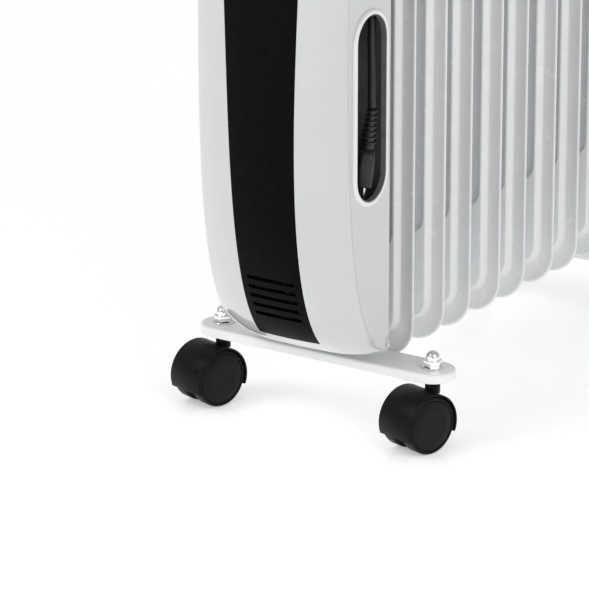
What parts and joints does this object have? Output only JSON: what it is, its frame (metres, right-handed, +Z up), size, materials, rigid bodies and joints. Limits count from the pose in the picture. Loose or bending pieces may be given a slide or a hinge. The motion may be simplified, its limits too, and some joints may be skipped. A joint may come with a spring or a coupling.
{
  "type": "oil filled radiator heater",
  "caption": "Free-standing oil filled radiator: a stack of hollow steel fins on twin-wheel casters, with a glossy moulded control housing that stores the mains lead.",
  "frame": {"origin": "middle of the box's footprint, on the floor under the casters", "axes": "+X across the fins to the side with the cord opening, -Y out of the front of the housing, +Z up"},
  "size_m": [0.251, 0.4724, 0.6621],
  "materials": {
    "fin_enamel": "silver-white enamel, satin gloss",
    "gloss_white_shell": "white moulded plastic, high gloss",
    "gloss_white_rim": "white moulded plastic, gloss",
    "satin_black_band": "black moulded plastic, satin",
    "plate_enamel": "white enamel on pressed steel",
    "bright_chrome": "polished",
    "caster_black": "black nylon, satin",
    "zinc_steel": "zinc plated",
    "galvanised_sheet": "galvanised",
    "element_sheath": "dull sheath",
    "brass_flange": "turned brass",
    "tub_grey": "dark grey moulded plastic",
    "lead_black": "black flexible sheath",
    "nickel_pins": "nickel plated",
    "handle_black": "black moulded plastic, fine grain",
    "knob_grey": "grey moulded plastic",
    "rocker_red": "translucent red plastic",
    "lamp_amber": "amber lens",
    "inner_plastic": "heat-resistant moulding"
  },
  "bodies": {
    "root": {"fin_1": "fin_enamel", "fin_2": "fin_enamel", "fin_3": "fin_enamel", "fin_4": "fin_enamel", "fin_5": "fin_enamel", "fin_6": "fin_enamel", "fin_7": "fin_enamel", "fin_8": "fin_enamel", "fin_9": "fin_enamel", "hub_collars": "fin_enamel", "hub_end_caps": "zinc_steel", "filler_plug": "zinc_steel", "heating_element": "element_sheath", "element_flange": "brass_flange", "front_cover": "gloss_white_shell", "centre_band": "satin_black_band", "side_shell": "gloss_white_shell", "slot_rim": "gloss_white_rim", "cord_tub": "tub_grey", "housing_back": "galvanised_sheet", "housing_brackets": "galvanised_sheet", "housing_screws": "zinc_steel", "control_panel": "satin_black_band", "thermostat_body": "inner_plastic", "pilot_lamp": "lamp_amber", "thermal_cutout": "inner_plastic", "terminal_block": "inner_plastic", "tilt_switch": "inner_plastic", "wiring": "lead_black", "carry_handle": "handle_black", "handle_screws": "zinc_steel", "front_foot_plate": "plate_enamel", "rear_foot_plate": "plate_enamel", "u_bolts": "zinc_steel", "wing_nuts": "zinc_steel", "acorn_nuts": "bright_chrome", "caster_stems": "zinc_steel", "cord_gland": "lead_black", "cord_run": "lead_black", "cord_hank": "lead_black", "cord_tie": "lead_black", "strain_relief": "lead_black", "plug_body": "lead_black", "plug_pins": "nickel_pins"},
    "caster_front_left": {"hood_front_left": "caster_black"},
    "wheel_front_left": {"wheels_front_left": "caster_black", "axle_front_left": "zinc_steel"},
    "caster_front_right": {"hood_front_right": "caster_black"},
    "wheel_front_right": {"wheels_front_right": "caster_black", "axle_front_right": "zinc_steel"},
    "caster_rear_left": {"hood_rear_left": "caster_black"},
    "wheel_rear_left": {"wheels_rear_left": "caster_black", "axle_rear_left": "zinc_steel"},
    "caster_rear_right": {"hood_rear_right": "caster_black"},
    "wheel_rear_right": {"wheels_rear_right": "caster_black", "axle_rear_right": "zinc_steel"},
    "knob": {"thermostat_knob": "knob_grey"},
    "rocker_left": {"rocker_left": "rocker_red"},
    "rocker_right": {"rocker_right": "rocker_red"}
  },
  "joints": [
    {"name": "swivel_front_left", "type": "hinge", "parent": "root", "child": "caster_front_left", "pos_m": [-0.098, -0.14153, 0.0513], "axis": [0, 0, 1], "continuous": true},
    {"name": "roll_front_left", "type": "hinge", "parent": "caster_front_left", "child": "wheel_front_left", "pos_m": [-0.10211, -0.15595, 0.023], "axis": [0.9617, -0.274, 0], "continuous": true},
    {"name": "swivel_front_right", "type": "hinge", "parent": "root", "child": "caster_front_right", "pos_m": [0.098, -0.14153, 0.0513], "axis": [0, 0, 1], "continuous": true},
    {"name": "roll_front_right", "type": "hinge", "parent": "caster_front_right", "child": "wheel_front_right", "pos_m": [0.09389, -0.15595, 0.023], "axis": [0.9617, -0.274, 0], "continuous": true},
    {"name": "swivel_rear_left", "type": "hinge", "parent": "root", "child": "caster_rear_left", "pos_m": [-0.098, 0.19277, 0.0513], "axis": [0, 0, 1], "continuous": true},
    {"name": "roll_rear_left", "type": "hinge", "parent": "caster_rear_left", "child": "wheel_rear_left", "pos_m": [-0.09389, 0.2072, 0.023], "axis": [-0.9617, 0.274, 0], "continuous": true},
    {"name": "swivel_rear_right", "type": "hinge", "parent": "root", "child": "caster_rear_right", "pos_m": [0.098, 0.19277, 0.0513], "axis": [0, 0, 1], "continuous": true},
    {"name": "roll_rear_right", "type": "hinge", "parent": "caster_rear_right", "child": "wheel_rear_right", "pos_m": [0.10211, 0.2072, 0.023], "axis": [-0.9617, 0.274, 0], "continuous": true},
    {"name": "thermostat_turn", "type": "hinge", "parent": "root", "child": "knob", "pos_m": [0, -0.21223, 0.54653], "axis": [0, 0.9781, -0.2079], "range_deg": [0, 270]},
    {"name": "rocker_left_tilt", "type": "hinge", "parent": "root", "child": "rocker_left", "pos_m": [-0.011, -0.21815, 0.49463], "axis": [1, 0, 0], "range_deg": [0, 14]},
    {"name": "rocker_right_tilt", "type": "hinge", "parent": "root", "child": "rocker_right", "pos_m": [0.011, -0.21815, 0.49463], "axis": [1, 0, 0], "range_deg": [0, 14]}
  ]
}
